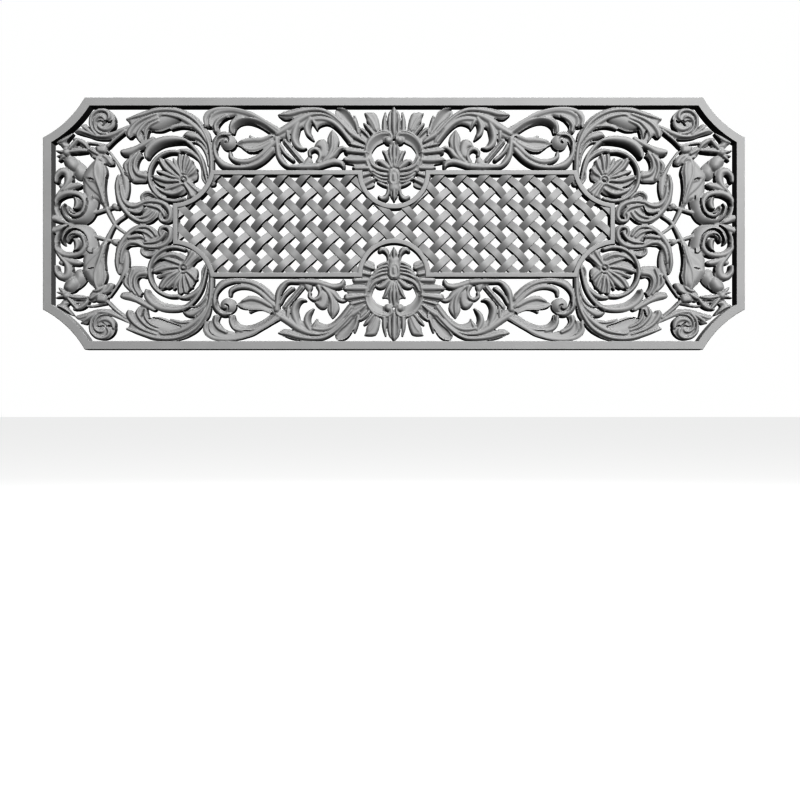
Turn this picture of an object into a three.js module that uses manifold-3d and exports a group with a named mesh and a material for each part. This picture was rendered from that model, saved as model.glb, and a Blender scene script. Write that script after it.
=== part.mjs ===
import * as THREE from "three";
import { ConvexGeometry } from "three/addons/geometries/ConvexGeometry.js";
import { mergeVertices } from "three/addons/utils/BufferGeometryUtils.js";
import Module from "manifold-3d";

const wasm = await Module();
wasm.setup();

// A carved openwork panel: one board cut through and carved on its front, flat on its back.
// X runs along the panel, Z up its height, and the front faces -Y. The origin is on the flat
// back, in the middle of the top bar of the frame, where the panel is fixed.

// The board and its frame, in mm
const panelLength = 1000;
const panelHeight = 359;
const boardThickness = 18;
const barWidth = 12;
const notchLength = 59.5;
const notchHeight = 57;
const notchSagitta = 6;
const notchSteps = 3;

// The moulding inside the frame: rails, short uprights, and the arcs that join them
const mouldingWidth = 7.2;
const mouldingDepth = 16.5;
const railOffset = 73;
const uprightOffset = 312;
const cornerArcRadius = 58.5;
const cornerArcRise = 11.4;
const cornerArcShift = 4.4;
const cornerArcSteps = 3;
const centreArcRadius = 48.4;
const centreArcSteps = 4;

// The lattice, woven from ribbons that rise and fall across the panel
const ribbonSpacing = 32;
const ribbonWidth = 10.3;
const ribbonCrest = 15;
const ribbonDip = 7.5;
const risingShift = 4;
const fallingShift = 8;

// The carving: the flat of its leaves, and what stands on them
const leafHeight = 11.5;
const barHeight = 10;
const crestFoot = 11;
const crestHeight = 15.5;
const bossFoot = 11;
const bossHeight = 16.5;
const bossSides = 6;

// The ring round each end flower: its middle as drawn, and its arc in radians
const ringMiddle = [314.7, 68.4];
const ringRadius = 35.4;
const ringWidth = 6.4;
const ringStart = -1.98;
const ringEnd = 1.75;
const ringSteps = 6;

// The carving is drawn between these edges, and stretches with the real ones
const drawn = { rail: 73, bar: 167.5, upright: 312, end: 488 };

const halfLength = panelLength / 2;
const halfHeight = panelHeight / 2;
const middleZ = barWidth / 2 - halfHeight;
const mergeDistance = 1e-4;
const quarters = [[1, 1], [-1, 1], [-1, -1], [1, -1]];
const vec = (x, y) => new THREE.Vector2(x, y);
const axes = [[1, 0, 0], [0, 0, 1], [0, -1, 0]].map((axis) => new THREE.Vector3(...axis));

function toSolid(geometry) {
  const bare = geometry.clone();
  for (const name of ["normal", "uv"]) bare.deleteAttribute(name);
  const merged = mergeVertices(bare, mergeDistance);
  return new wasm.Manifold(new wasm.Mesh({
    numProp: 3,
    vertProperties: new Float32Array(merged.attributes.position.array),
    triVerts: new Uint32Array(merged.index.array),
  }));
}

// Joined pair by pair, so that small solids are joined before large ones
function join(solids) {
  let rest = solids;
  while (rest.length > 1) {
    const pairs = [];
    for (let i = 0; i < rest.length; i += 2) {
      pairs.push(i + 1 < rest.length ? rest[i].add(rest[i + 1]) : rest[i]);
    }
    rest = pairs;
  }
  return rest[0];
}

// An outline in X and Z from the panel's middle, cut to a height above the flat back
function cutOut(shape, height) {
  const geometry = new THREE.ExtrudeGeometry(shape, { depth: height, bevelEnabled: false });
  const upright = new THREE.Matrix4().makeBasis(...axes);
  return toSolid(geometry.applyMatrix4(upright.setPosition(0, 0, middleZ)));
}

function arcPoints(cx, cz, radius, from, to, steps) {
  return Array.from({ length: steps + 1 }, (_, i) => {
    const angle = from + ((to - from) * i) / steps;
    return vec(cx + radius * Math.cos(angle), cz + radius * Math.sin(angle));
  });
}

// One quarter's points carried into all four, in order round the panel
function roundPanel(corner) {
  return quarters.flatMap(([sx, sz]) => {
    const run = sx * sz > 0 ? corner : [...corner].reverse();
    return run.map((point) => vec(sx * point.x, sz * point.y));
  });
}

// The frame's outline: a rectangle whose corners are cut off by shallow hollow arcs
function frameOutline(inset) {
  const chord = Math.hypot(notchLength, notchHeight);
  const radius = chord ** 2 / (8 * notchSagitta) + notchSagitta / 2;
  const back = (radius - notchSagitta) / chord;
  const cx = halfLength - notchLength / 2 + back * notchHeight;
  const cz = halfHeight - notchHeight / 2 + back * notchLength;
  const reach = radius + inset;
  const atEnd = Math.PI + Math.asin((cz - halfHeight + notchHeight) / radius);
  const atTop = Math.PI + Math.acos((cx - halfLength + notchLength) / radius);
  const arc = arcPoints(cx, cz, reach, atEnd, atTop, notchSteps);
  arc[0] = vec(halfLength - inset, cz - Math.sqrt(reach ** 2 - (cx - halfLength + inset) ** 2));
  arc[notchSteps] = vec(cx - Math.sqrt(reach ** 2 - (cz - halfHeight + inset) ** 2), halfHeight - inset);
  return roundPanel(arc);
}

function frame() {
  const shape = new THREE.Shape(frameOutline(0));
  shape.holes.push(new THREE.Path(frameOutline(barWidth)));
  return cutOut(shape, boardThickness);
}

// The moulding's middle line in one quarter: upright, corner arc, rail and centre arc
function mouldingLines() {
  const cx = uprightOffset + cornerArcShift;
  const cz = railOffset + cornerArcRise;
  const atUpright = Math.PI + Math.acos(cornerArcShift / cornerArcRadius);
  const atRail = Math.PI + Math.asin(cornerArcRise / cornerArcRadius);
  const corner = arcPoints(cx, cz, cornerArcRadius, atUpright, atRail, cornerArcSteps);
  const centre = arcPoints(0, railOffset, centreArcRadius, 0, -Math.PI / 2, centreArcSteps);
  const upright = [vec(uprightOffset, 0), corner[0]];
  const rail = [corner.at(-1), centre[0]];
  return { upright, corner, rail, centre };
}

// A strip of even width and flat top along a line
function strip(line, width, height) {
  const edge = (side) => line.map((point, i) => {
    const before = line[Math.max(i - 1, 0)];
    const after = line[Math.min(i + 1, line.length - 1)];
    const along = after.clone().sub(before).normalize();
    return vec(-along.y, along.x).multiplyScalar((side * width) / 2).add(point);
  });
  return cutOut(new THREE.Shape([...edge(1), ...edge(-1).reverse()]), height);
}

function moulding() {
  return quarters.flatMap(([sx, sz]) => Object.values(mouldingLines()).map((line) => {
    const run = line.map((point) => vec(sx * point.x, sz * point.y));
    return strip(run, mouldingWidth, mouldingDepth);
  }));
}

// A point of a rising and a falling ribbon's crossing, off its middle by the given steps
function crossing(i, j, side, end, height) {
  const rise = (i * ribbonSpacing + risingShift) / Math.SQRT2 + side;
  const run = (j * ribbonSpacing + fallingShift) / Math.SQRT2 + end;
  return new THREE.Vector3((run - rise) / Math.SQRT2, -height, (run + rise) / Math.SQRT2 + middleZ);
}

// The length of a ribbon that passes over one neighbour and dips under the next on both sides.
// Rising and falling ribbons take turns in passing over.
function ribbonLength(i, j) {
  const rising = (i + j) % 2 === 0;
  const reach = ribbonSpacing / Math.SQRT2;
  const points = [-1, 1].flatMap((side) => {
    const across = (side * ribbonWidth) / 2;
    const at = (along, height) => (rising
      ? crossing(i, j, across, along, height)
      : crossing(i, j, along, across, height));
    return [at(-reach, 0), at(-reach, ribbonDip), at(0, ribbonCrest), at(reach, ribbonDip), at(reach, 0)];
  });
  return toSolid(new ConvexGeometry(points));
}

// The lattice fills the field inside the moulding's middle line
function lattice() {
  const reach = Math.ceil((uprightOffset + railOffset) / ribbonSpacing);
  const lengths = [];
  for (let i = -reach; i <= reach; i += 1) {
    for (let j = -reach; j <= reach; j += 1) {
      const middle = crossing(i, j, 0, 0, 0);
      const inside = Math.abs(middle.x) < uprightOffset + ribbonSpacing
        && Math.abs(middle.z - middleZ) < railOffset + ribbonSpacing;
      if (inside) lengths.push(ribbonLength(i, j));
    }
  }
  const { corner, centre } = mouldingLines();
  const field = new THREE.Shape(roundPanel([...corner, ...centre.slice(0, -1)]));
  return join(lengths).intersect(cutOut(field, boardThickness));
}

function stretch(value, inner, outer, realInner, realOuter) {
  if (value <= inner) return (value * realInner) / inner;
  return realInner + ((value - inner) * (realOuter - realInner)) / (outer - inner);
}

// A drawn point's real place, out from the middle and up from it
function place(u, v) {
  return vec(
    stretch(u, drawn.upright, drawn.end, uprightOffset, halfLength - barWidth),
    stretch(v, drawn.rail, drawn.bar, railOffset, halfHeight - barWidth),
  );
}

// The forms of the carving, in mm out from the panel's middle and up from it. A plate is an
// outline cut through the board, a crest is a ridge along a plate with half its width at each
// point, a bar is a straight rod, and a boss is a low dome.
const plate = (...outline) => ({ outline, height: leafHeight });
const crest = (...line) => ({ line });
const bar = (from, to, halfWidth) => ({ from, to, halfWidth });
const boss = (u, v, radius) => ({ middle: [u, v], radius });

const cornerVolute = [
  plate([380, 140], [399, 134], [399, 156], [417, 169], [434, 159], [436, 143], [448, 141],
    [457, 132], [428, 122], [400, 122.5]),
  bar([410, 112], [383, 135], 2.6),
  boss(417, 148, 17),
];
const calyx = [
  plate([407, 105], [402, 86], [434, 96], [436, 110], [412, 113]),
];
const cornerFlower = [
  plate([463, 112], [460, 133], [485, 117], [473, 84], [451, 63], [441, 74], [457, 97],
    [440, 103], [452, 109], [449, 123]),
  boss(467, 101, 7),
];
const curl = [
  plate([489, 60], [488, 71], [478, 81], [463, 78], [460, 59], [486, 33], [473, 57], [478, 69],
    [481, 60]),
  plate([448, 56], [459, 61], [476, 44]),
];
const endVolute = [
  plate([486, 28], [480, 42], [455, 48.5], [422, 34], [430, 12], [447, -1], [489, -1], [489, 13],
    [477, 13], [473, 28], [460, 27], [467, 36]),
  crest([430, 32, 6], [434, 16, 6], [452, 4, 5]),
  crest([482, 31, 3], [458, 43, 4.5], [444, 26, 4.5]),
];
const tulip = [
  plate([419, 95], [430, 93], [446, 64], [444, 42], [424, 28], [410, 27], [411, 72]),
  bar([414, 32], [400, 0], 3),
  bar([402, 3], [385, 13], 2.5),
  bar([429, 16], [396, 26], 3),
];
const endStem = [
  plate([410, 106], [388, 70], [382, 34], [379, 58]),
  plate([394, 73], [400, 50], [388, 18], [368, -1], [313, -1], [313, 24], [332, 35.5], [381, 32],
    [391, 54]),
  plate([364, 31], [357, 47], [345, 46], [335, 34]),
  crest([394, 52, 4], [384, 22, 6], [358, 7, 5]),
];
const endFlower = [
  plate([339, 93], [298, 98], [285, 88], [283, 64], [268, 50], [288, 34], [300, 46], [341, 46],
    [351, 67], [333, 75]),
  boss(301.7, 64, 10),
];
const topLeaf = [
  plate([258.5, 75], [258.5, 95], [264, 128], [290, 159], [312, 167], [338, 168.5], [384, 151],
    [379, 122], [371, 130], [360, 116], [357, 126], [353, 119], [349, 134], [305, 138],
    [304, 126], [277, 115], [265.5, 97], [265.5, 75]),
  plate([268, 57], [273, 92], [308, 106], [281, 86]),
  crest([262, 82, 3], [264, 118, 3.5], [286, 149, 6], [330, 163, 5], [376, 151, 3]),
];
const lowerLeaf = [
  plate([290, 115], [302, 124], [330, 129], [362, 116], [392, 108.5], [390, 98], [381, 94],
    [389, 80], [379, 62], [347, 64], [351, 77], [365, 79], [361, 98], [350, 91], [342, 106],
    [298, 111]),
];
const scroll = [
  plate([273, 150], [264, 164], [235, 168], [206, 161], [162, 134], [174, 126], [192, 140],
    [224, 144], [230, 128], [238, 131], [231, 152], [250, 141], [250, 130], [268, 138]),
  crest([267, 145, 4], [253, 160, 5], [221, 159, 5.5], [170, 132, 4.5]),
];
const volute = [
  plate([260, 122], [261, 98], [250, 80], [208, 77], [163, 113], [172, 118], [204, 95],
    [224, 95], [233, 103], [227, 120], [240, 133]),
  plate([227, 114.5], [206, 128.5], [166, 129], [168, 118], [206, 102]),
  crest([254, 120, 4], [254, 94, 4.5], [212, 82, 4.5], [172, 108, 4]),
  boss(238, 118, 11),
];
const arch = [
  plate([168, 128], [160, 139], [134, 156], [162, 152], [148, 166], [104, 168], [61, 132],
    [61, 112], [92, 143], [115, 143], [116, 120.5], [129, 134], [135, 128], [129, 106],
    [150, 118], [156, 122]),
  crest([160, 131, 5], [139, 149, 6], [108, 158, 6], [70, 131, 5]),
];
const lowerCurl = [
  plate([172, 104], [165, 86], [152, 78], [110, 77], [72, 77], [82, 96], [66, 107], [80, 112],
    [89, 136], [109, 120], [121, 104], [126, 85], [144, 91], [153, 83], [163, 96], [163, 122]),
  bar([158, 121], [131, 88], 4),
];
const rosette = [
  plate([-1, 137], [24, 135], [42, 106], [40, 85], [14, 50], [9, 58], [33, 95], [22, 117],
    [-1, 118]),
  plate([11, 134], [18, 134], [12, 161]),
  plate([17, 134], [27, 159], [40, 158], [29, 131]),
  plate([26, 126], [43, 148], [35, 121]),
  plate([40, 122], [57, 156], [70, 165], [83, 165], [61, 131], [61, 116], [41, 112]),
  plate([41, 109], [67, 108], [41, 103]),
  plate([41, 99], [70, 95], [41, 91]),
  plate([40, 90], [62, 86], [38, 84]),
  plate([37, 82], [54, 78], [33, 74]),
  plate([25, 74], [45, 64], [18, 61]),
  plate([20, 64], [41, 55], [13, 54]),
];
const palmette = [
  plate([-1, 134], [-1, 171], [6, 155], [3, 134]),
  plate([-1, 120], [14, 103], [25, 85], [10, 70], [20, 38], [-1, 22]),
];

const carving = [
  cornerVolute, calyx, cornerFlower, curl, endVolute, tulip, endStem, endFlower, topLeaf,
  lowerLeaf, scroll, volute, arch, lowerCurl, rosette, palmette,
].flat();

function onPanel(spot, height, [sx, sz]) {
  return new THREE.Vector3(sx * spot.x, -height, middleZ + sz * spot.y);
}

function plateSolid({ outline, height }, [sx, sz]) {
  const spots = outline.map(([u, v]) => place(u, v));
  return cutOut(new THREE.Shape(spots.map((spot) => vec(sx * spot.x, sz * spot.y))), height);
}

function crestSolid({ line }, quarter) {
  const spots = line.map(([u, v]) => place(u, v));
  const sections = spots.map((spot, i) => {
    const before = spots[Math.max(i - 1, 0)];
    const after = spots[Math.min(i + 1, spots.length - 1)];
    const along = after.clone().sub(before).normalize();
    const across = vec(-along.y, along.x).multiplyScalar(line[i][2]);
    return [
      onPanel(spot.clone().add(across), crestFoot, quarter),
      onPanel(spot.clone().sub(across), crestFoot, quarter),
      onPanel(spot, crestHeight, quarter),
    ];
  });
  return join(sections.slice(1).map((section, i) => (
    toSolid(new ConvexGeometry([...sections[i], ...section])))));
}

function barSolid({ from, to, halfWidth }, [sx, sz]) {
  const ends = [from, to].map(([u, v]) => place(u, v)).map((spot) => vec(sx * spot.x, sz * spot.y));
  return strip(ends, 2 * halfWidth, barHeight);
}

function bossSolid({ middle, radius }, quarter) {
  const centre = place(...middle);
  const rim = arcPoints(centre.x, centre.y, radius, 0, 2 * Math.PI, bossSides).slice(1);
  const foot = rim.map((spot) => onPanel(spot, bossFoot, quarter));
  return toSolid(new ConvexGeometry([onPanel(centre, bossHeight, quarter), ...foot]));
}

function carve(form, quarter) {
  if (form.outline) return plateSolid(form, quarter);
  if (form.line) return crestSolid(form, quarter);
  if (form.radius) return bossSolid(form, quarter);
  return barSolid(form, quarter);
}

// The ring round the end flower springs from the moulding on both sides
function flowerRing([sx, sz]) {
  const { x, y } = place(...ringMiddle);
  const line = arcPoints(x, y, ringRadius, ringStart, ringEnd, ringSteps);
  return strip(line.map((spot) => vec(sx * spot.x, sz * spot.y)), ringWidth, leafHeight);
}

function panel() {
  const carved = quarters.map((quarter) => (
    join([flowerRing(quarter), ...carving.map((form) => carve(form, quarter))])));
  return join([lattice(), join(moulding()), frame(), join(carved)]);
}

function toGeometry(solid) {
  const mesh = solid.getMesh();
  const geometry = new THREE.BufferGeometry();
  geometry.setAttribute("position", new THREE.BufferAttribute(mesh.vertProperties, 3));
  geometry.setIndex(new THREE.BufferAttribute(mesh.triVerts, 1));
  geometry.computeVertexNormals();
  return geometry;
}

const paint = new THREE.MeshStandardMaterial({ color: 0xb9b9b9, roughness: 0.55, metalness: 0 });
const carvedPanel = new THREE.Mesh(toGeometry(panel()), paint);
carvedPanel.name = "carved_panel";

const group = new THREE.Group();
group.add(carvedPanel);

export default group;
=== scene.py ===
import math

import bmesh
import bpy
import numpy as np
from mathutils import Matrix, Vector


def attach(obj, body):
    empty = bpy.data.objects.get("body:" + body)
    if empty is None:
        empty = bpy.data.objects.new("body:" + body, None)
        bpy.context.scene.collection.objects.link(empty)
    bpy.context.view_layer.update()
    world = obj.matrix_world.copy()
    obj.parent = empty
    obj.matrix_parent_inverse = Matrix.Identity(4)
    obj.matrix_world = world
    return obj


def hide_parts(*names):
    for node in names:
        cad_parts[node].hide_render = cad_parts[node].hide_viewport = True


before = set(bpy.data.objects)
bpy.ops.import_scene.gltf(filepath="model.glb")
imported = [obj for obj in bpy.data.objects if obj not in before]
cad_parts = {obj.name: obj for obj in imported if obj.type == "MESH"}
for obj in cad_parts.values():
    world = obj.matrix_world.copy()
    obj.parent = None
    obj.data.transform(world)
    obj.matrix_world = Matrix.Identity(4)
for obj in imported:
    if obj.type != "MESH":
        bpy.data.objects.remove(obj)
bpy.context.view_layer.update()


# Primed board: close-grained board, routed and carved, then sprayed with a neutral grey primer.
# It gives an even satin grey, with the faintest mottle of the spray, a fine pebbled skin, and
# a trace of the long grain under the paint.
def linear(hex_colour):
    channels = [int(hex_colour[i:i + 2], 16) / 255 for i in (1, 3, 5)]
    return [c / 12.92 if c <= 0.04045 else ((c + 0.055) / 1.055) ** 2.4 for c in channels] + [1]


def add_node(tree, kind, settings=None, links=None):
    node = tree.nodes.new(kind)
    for name, value in (settings or {}).items():
        if name in node.inputs:
            node.inputs[name].default_value = value
        else:
            setattr(node, name, value)
    for name, source in (links or {}).items():
        tree.links.new(source, node.inputs[name])
    return node


def primed_board():
    material = bpy.data.materials.new("primed_board")
    material.use_nodes = True
    tree = material.node_tree
    skin = tree.nodes["Principled BSDF"]
    place = add_node(tree, "ShaderNodeTexCoord").outputs["Object"]
    mottle = add_node(tree, "ShaderNodeTexNoise", {"Scale": 28.0, "Detail": 4.0, "Roughness": 0.6},
                      {"Vector": place})
    along = add_node(tree, "ShaderNodeMapping", {"Scale": (18.0, 420.0, 420.0)}, {"Vector": place})
    grain = add_node(tree, "ShaderNodeTexNoise", {"Scale": 1.0, "Detail": 3.0, "Roughness": 0.55},
                     {"Vector": along.outputs["Vector"]})
    pebble = add_node(tree, "ShaderNodeTexNoise", {"Scale": 900.0, "Detail": 2.0},
                      {"Vector": place})
    tone = add_node(tree, "ShaderNodeMix",
                    {"data_type": "RGBA", "A": linear("#b2b2b2"), "B": linear("#bcbcbc")},
                    {"Factor": mottle.outputs["Fac"]})
    tree.links.new(tone.outputs["Result"], skin.inputs["Base Color"])
    sheen = add_node(tree, "ShaderNodeMapRange", {"To Min": 0.58, "To Max": 0.7},
                     {"Value": mottle.outputs["Fac"]})
    tree.links.new(sheen.outputs["Result"], skin.inputs["Roughness"])
    fine = add_node(tree, "ShaderNodeBump", {"Strength": 0.12, "Distance": 0.0002},
                    {"Height": pebble.outputs["Fac"]})
    coarse = add_node(tree, "ShaderNodeBump", {"Strength": 0.1, "Distance": 0.0004},
                      {"Height": grain.outputs["Fac"], "Normal": fine.outputs["Normal"]})
    tree.links.new(coarse.outputs["Normal"], skin.inputs["Normal"])
    skin.inputs["IOR"].default_value = 1.5
    skin.inputs["Specular IOR Level"].default_value = 0.3
    return material


primer = primed_board()
MM = 0.001
middle_z = -173.5


# One piece of the board, from a mesh drawn in mm: x along the panel, z up from its middle, and
# the flat back at y = 0 with the carved front towards -y. Walls meet the front at a crisp edge,
# and a piece bounces no light onto its neighbours.
def finish_piece(bm, name, crease):
    bmesh.ops.transform(bm, matrix=Matrix.Translation((0, 0, middle_z)), verts=bm.verts)
    bmesh.ops.scale(bm, vec=(MM, MM, MM), verts=bm.verts)
    for face in bm.faces:
        face.smooth = True
    for edge in bm.edges:
        if edge.calc_face_angle(0) > math.radians(crease):
            edge.smooth = False
    mesh = bpy.data.meshes.new(name)
    bm.to_mesh(mesh)
    bm.free()
    piece = bpy.data.objects.new(name, mesh)
    piece.visible_diffuse = False
    bpy.context.scene.collection.objects.link(piece)
    mesh.materials.append(primer)
    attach(piece, "root")
    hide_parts("carved_panel")


# Frame: four plain bars left square at the outside of the board, with the corners cut off by
# shallow hollow arcs. Their long edges are eased by a light pass of sandpaper.
half_length, half_height, bar_width, board = 500, 179.5, 12, 18
notch_length, notch_height, notch_sagitta = 59.5, 57, 6
notch_chord = math.hypot(notch_length, notch_height)
notch_radius = notch_chord ** 2 / (8 * notch_sagitta) + notch_sagitta / 2
notch_back = (notch_radius - notch_sagitta) / notch_chord
notch_x = half_length - notch_length / 2 + notch_back * notch_height
notch_z = half_height - notch_height / 2 + notch_back * notch_length
eased_edge = 0.7
joined = 0.01
rim_angle = 1.0


# An arc from one point to another round a centre, the short way. Its first and last points.
def swept_arc(bm, centre, start, end, steps):
    a = math.atan2(start[2] - centre[2], start[0] - centre[0])
    b = math.atan2(end[2] - centre[2], end[0] - centre[0])
    angle = (a - b + math.pi) % (2 * math.pi) - math.pi
    first = bm.verts.new(start)
    spun = bmesh.ops.spin(bm, geom=[first], cent=centre, axis=(0, 1, 0), angle=angle, steps=steps)
    return first, spun["geom_last"][0]


# The upright side of a quarter of a loop, and the hollow arc from it to the height of the top
def side_and_corner(bm, cx, cz, radius, side_x, top_z, steps):
    start = (side_x, 0, cz - math.sqrt(radius ** 2 - (cx - side_x) ** 2))
    end = (cx - math.sqrt(radius ** 2 - (cz - top_z) ** 2), 0, top_z)
    first, last = swept_arc(bm, (cx, 0, cz), start, end, steps)
    bm.edges.new((bm.verts.new((side_x, 0, 0)), first))
    return last


# A quarter of the frame's outline, set in by so much
def notch_loop(bm, inset):
    top_z = half_height - inset
    last = side_and_corner(bm, notch_x, notch_z, notch_radius + inset, half_length - inset, top_z,
                           steps=12)
    bm.edges.new((last, bm.verts.new((0, 0, top_z))))


# A flat ring between two loops, each drawn as a quarter and mirrored over both axes
def flat_ring(make_loop, offsets):
    bm = bmesh.new()
    for offset in offsets:
        loop = bmesh.new()
        make_loop(loop, offset)
        for axis in ("X", "Z"):
            bmesh.ops.mirror(loop, geom=loop.verts[:] + loop.edges[:], axis=axis,
                             merge_dist=joined)
            bmesh.ops.remove_doubles(loop, verts=loop.verts, dist=joined)
        mesh = bpy.data.meshes.new("loop")
        loop.to_mesh(mesh)
        loop.free()
        bm.from_mesh(mesh)
        bpy.data.meshes.remove(mesh)
    bmesh.ops.bridge_loops(bm, edges=bm.edges[:])
    return bm


# A flat ring raised towards the front, with its front edges rounded over
def thicken(bm, depth, easing, segments):
    raised = bmesh.ops.extrude_face_region(bm, geom=bm.faces[:])
    front = [v for v in raised["geom"] if isinstance(v, bmesh.types.BMVert)]
    bmesh.ops.translate(bm, vec=(0, -depth, 0), verts=front)
    bmesh.ops.recalc_face_normals(bm, faces=bm.faces)
    rim = [e for e in bm.edges if all(v.co.y < joined - depth for v in e.verts)
           and e.calc_face_angle(0) > rim_angle]
    bmesh.ops.bevel(bm, geom=rim, offset=easing, offset_type="OFFSET", segments=segments,
                    profile=0.5, affect="EDGES", material=-1)


bm = flat_ring(notch_loop, (0, bar_width))
thicken(bm, board, eased_edge, segments=2)
finish_piece(bm, "frame_bars", crease=12)


# Inner moulding: one closed rounded rib round the lattice, of rails, short uprights, hollow
# corner arcs and a dip below each rosette, cut with a small round-over bit.
rail, upright, rib_width, rib_depth, rib_round = 73, 312, 7.2, 16.5, 1.3
corner_arc = (316.4, 84.4, 58.5)
dip_radius = 48.4


# A quarter of the rib's line, moved outward by so much
def rib_loop(bm, outward):
    cx, cz, radius = corner_arc
    top_z = rail + outward
    last = side_and_corner(bm, cx, cz, radius - outward, upright + outward, top_z, steps=24)
    dip = dip_radius - outward
    dip_start = (math.sqrt(dip ** 2 - outward ** 2), 0, top_z)
    first, _ = swept_arc(bm, (0, 0, rail), dip_start, (0, 0, rail - dip), steps=24)
    bm.edges.new((last, first))


bm = flat_ring(rib_loop, (rib_width / 2, -rib_width / 2))
thicken(bm, rib_depth, rib_round, segments=4)
finish_piece(bm, "inner_moulding", crease=12)


# Woven lattice: flat ribbons cut in relief, each running over one neighbour and diving under the
# next. They are square at the openings and softly rounded on top.
pitch = 32 / math.sqrt(2)
ribbon_half, crest, fall, bend = 5.15, 15.3, 0.77, 10.0
rising_shift, falling_shift = 4 / math.sqrt(2), 8 / math.sqrt(2)
ribbon_reach = ribbon_half + 0.01
ribbon_crown = 0.2
weave_turns = 18
lattice_back = 0.3
# Grid lines of one turn: across a ribbon, then across the gap to the next one
cuts = [-5.15, -4.75, -3.6, -1.8, 0, 1.8, 3.6, 4.75, 5.15, 5.3, 7.3, 9.3, 11.31, 13.3, 15.3, 17.33]


# Height of one ribbon, highest where it passes over and falling to where it dives under
def weave_top(across, along, over):
    from_crest = along if over else pitch - along
    drop = fall * (math.hypot(from_crest, bend) - bend)
    return crest - drop - ribbon_crown * (across / ribbon_half) ** 4


# Height of the higher ribbon at distances p and q from the two nearest, or None in an opening
def weave_height(p, q, i, j):
    heights = []
    over = (i + j) % 2 == 0
    if p <= ribbon_reach:
        heights.append(weave_top(p, q, over))
    if q <= ribbon_reach:
        heights.append(weave_top(q, p, not over))
    return max(heights, default=None)


# Within the line of the inner moulding
def in_field(x, z):
    x, z = abs(x), abs(z)
    return (x < upright and z < rail
            and math.hypot(x - corner_arc[0], z - corner_arc[1]) > corner_arc[2]
            and math.hypot(x, z - rail) > dip_radius)


# Straight walls from the open rim down to a flat back
def close_back(bm, back):
    rim = [e for e in bm.edges if e.is_boundary]
    walls = bmesh.ops.extrude_edge_only(bm, edges=rim)["geom"]
    for vert in walls:
        if isinstance(vert, bmesh.types.BMVert):
            vert.co.y = -back
    foot = [e for e in walls if isinstance(e, bmesh.types.BMEdge) and e.is_boundary]
    bmesh.ops.triangle_fill(bm, use_beauty=False, use_dissolve=False, edges=foot)
    for edge in rim:
        edge.smooth = False
    bmesh.ops.recalc_face_normals(bm, faces=bm.faces)


bm = bmesh.new()
count = 2 * weave_turns * len(cuts)
bmesh.ops.create_grid(bm, x_segments=count, y_segments=count, size=count / 2)
doomed = []
for vert in bm.verts:
    spots = []
    for step in (round(vert.co.x + count / 2), round(vert.co.y + count / 2)):
        turns, part = divmod(step, len(cuts))
        spots.append(((turns - weave_turns) * pitch + cuts[part], turns - weave_turns, cuts[part]))
    (rise, i, p), (run, j, q) = spots
    near_i, near_p = (i, abs(p)) if p < pitch / 2 else (i + 1, pitch - p)
    near_j, near_q = (j, abs(q)) if q < pitch / 2 else (j + 1, pitch - q)
    rise, run = rise + rising_shift, run + falling_shift
    x, z = (run - rise) / math.sqrt(2), (run + rise) / math.sqrt(2)
    height = weave_height(near_p, near_q, near_i, near_j)
    if height is None or not in_field(x, z):
        doomed.append(vert)
    else:
        vert.co = (x, -height, z)
bmesh.ops.delete(bm, geom=doomed, context="VERTS")
close_back(bm, lattice_back)
finish_piece(bm, "woven_lattice", crease=55)


# Carving: leaves, scrolls, flowers and the half rosettes, alike in all four quarters. They are
# cut through with straight walls and rounded over by hand, so each form is a ridge between
# valleys. A mark is given in mm out from the panel's middle, up from it, and half the width.
def stroke(heights, points, kind="cut"):
    return {"kind": kind, "heights": heights, "points": points}


def band(*points):
    return stroke((11.2, 15.4, 11.2), points)


def leaf(*points):
    return stroke((10.4, 14.4, 10.4), points)


def fold(*points):
    return stroke((11.8, 15.4, 11.8), points)


def rod(*points):
    return stroke((8.8, 11.2, 8.8), points)


# Heights at the left edge, the middle and the right edge, looking along the stroke
def facet(left, middle, right, *points):
    return stroke((left, middle, right), points)


# Depths cut away, given the same way
def hollow(left, middle, right, *points):
    return stroke((left, middle, right), points, "hollow")


def groove(*points):
    return hollow(0, 3, 0, *points)


def cleft(*points):
    return hollow(0, 6, 0, *points)


# A round knob: a stroke of next to no length
def boss(u, v, radius, height=16.5):
    return stroke((11.0, height, 11.0), [(u, v, radius), (u + 0.01, v, radius)])


# A band bent round a centre, with a mark every 20 degrees or so
def ring(u, v, radius, half_width, start=0.0, end=360.0):
    steps = max(3, round((end - start) / 20))
    angles = [math.radians(start + (end - start) * i / steps) for i in range(steps + 1)]
    return band(*[(u + radius * math.cos(a), v + radius * math.sin(a), half_width)
                  for a in angles])


# A rounded pad inside an outline: its edge, its top, and how far in the rounding reaches. A
# corner is a mark given twice.
def pad(edge, top, shoulder, *outline):
    return stroke((edge, top, shoulder), [(u, v, 0) for u, v in outline], "pad")


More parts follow.
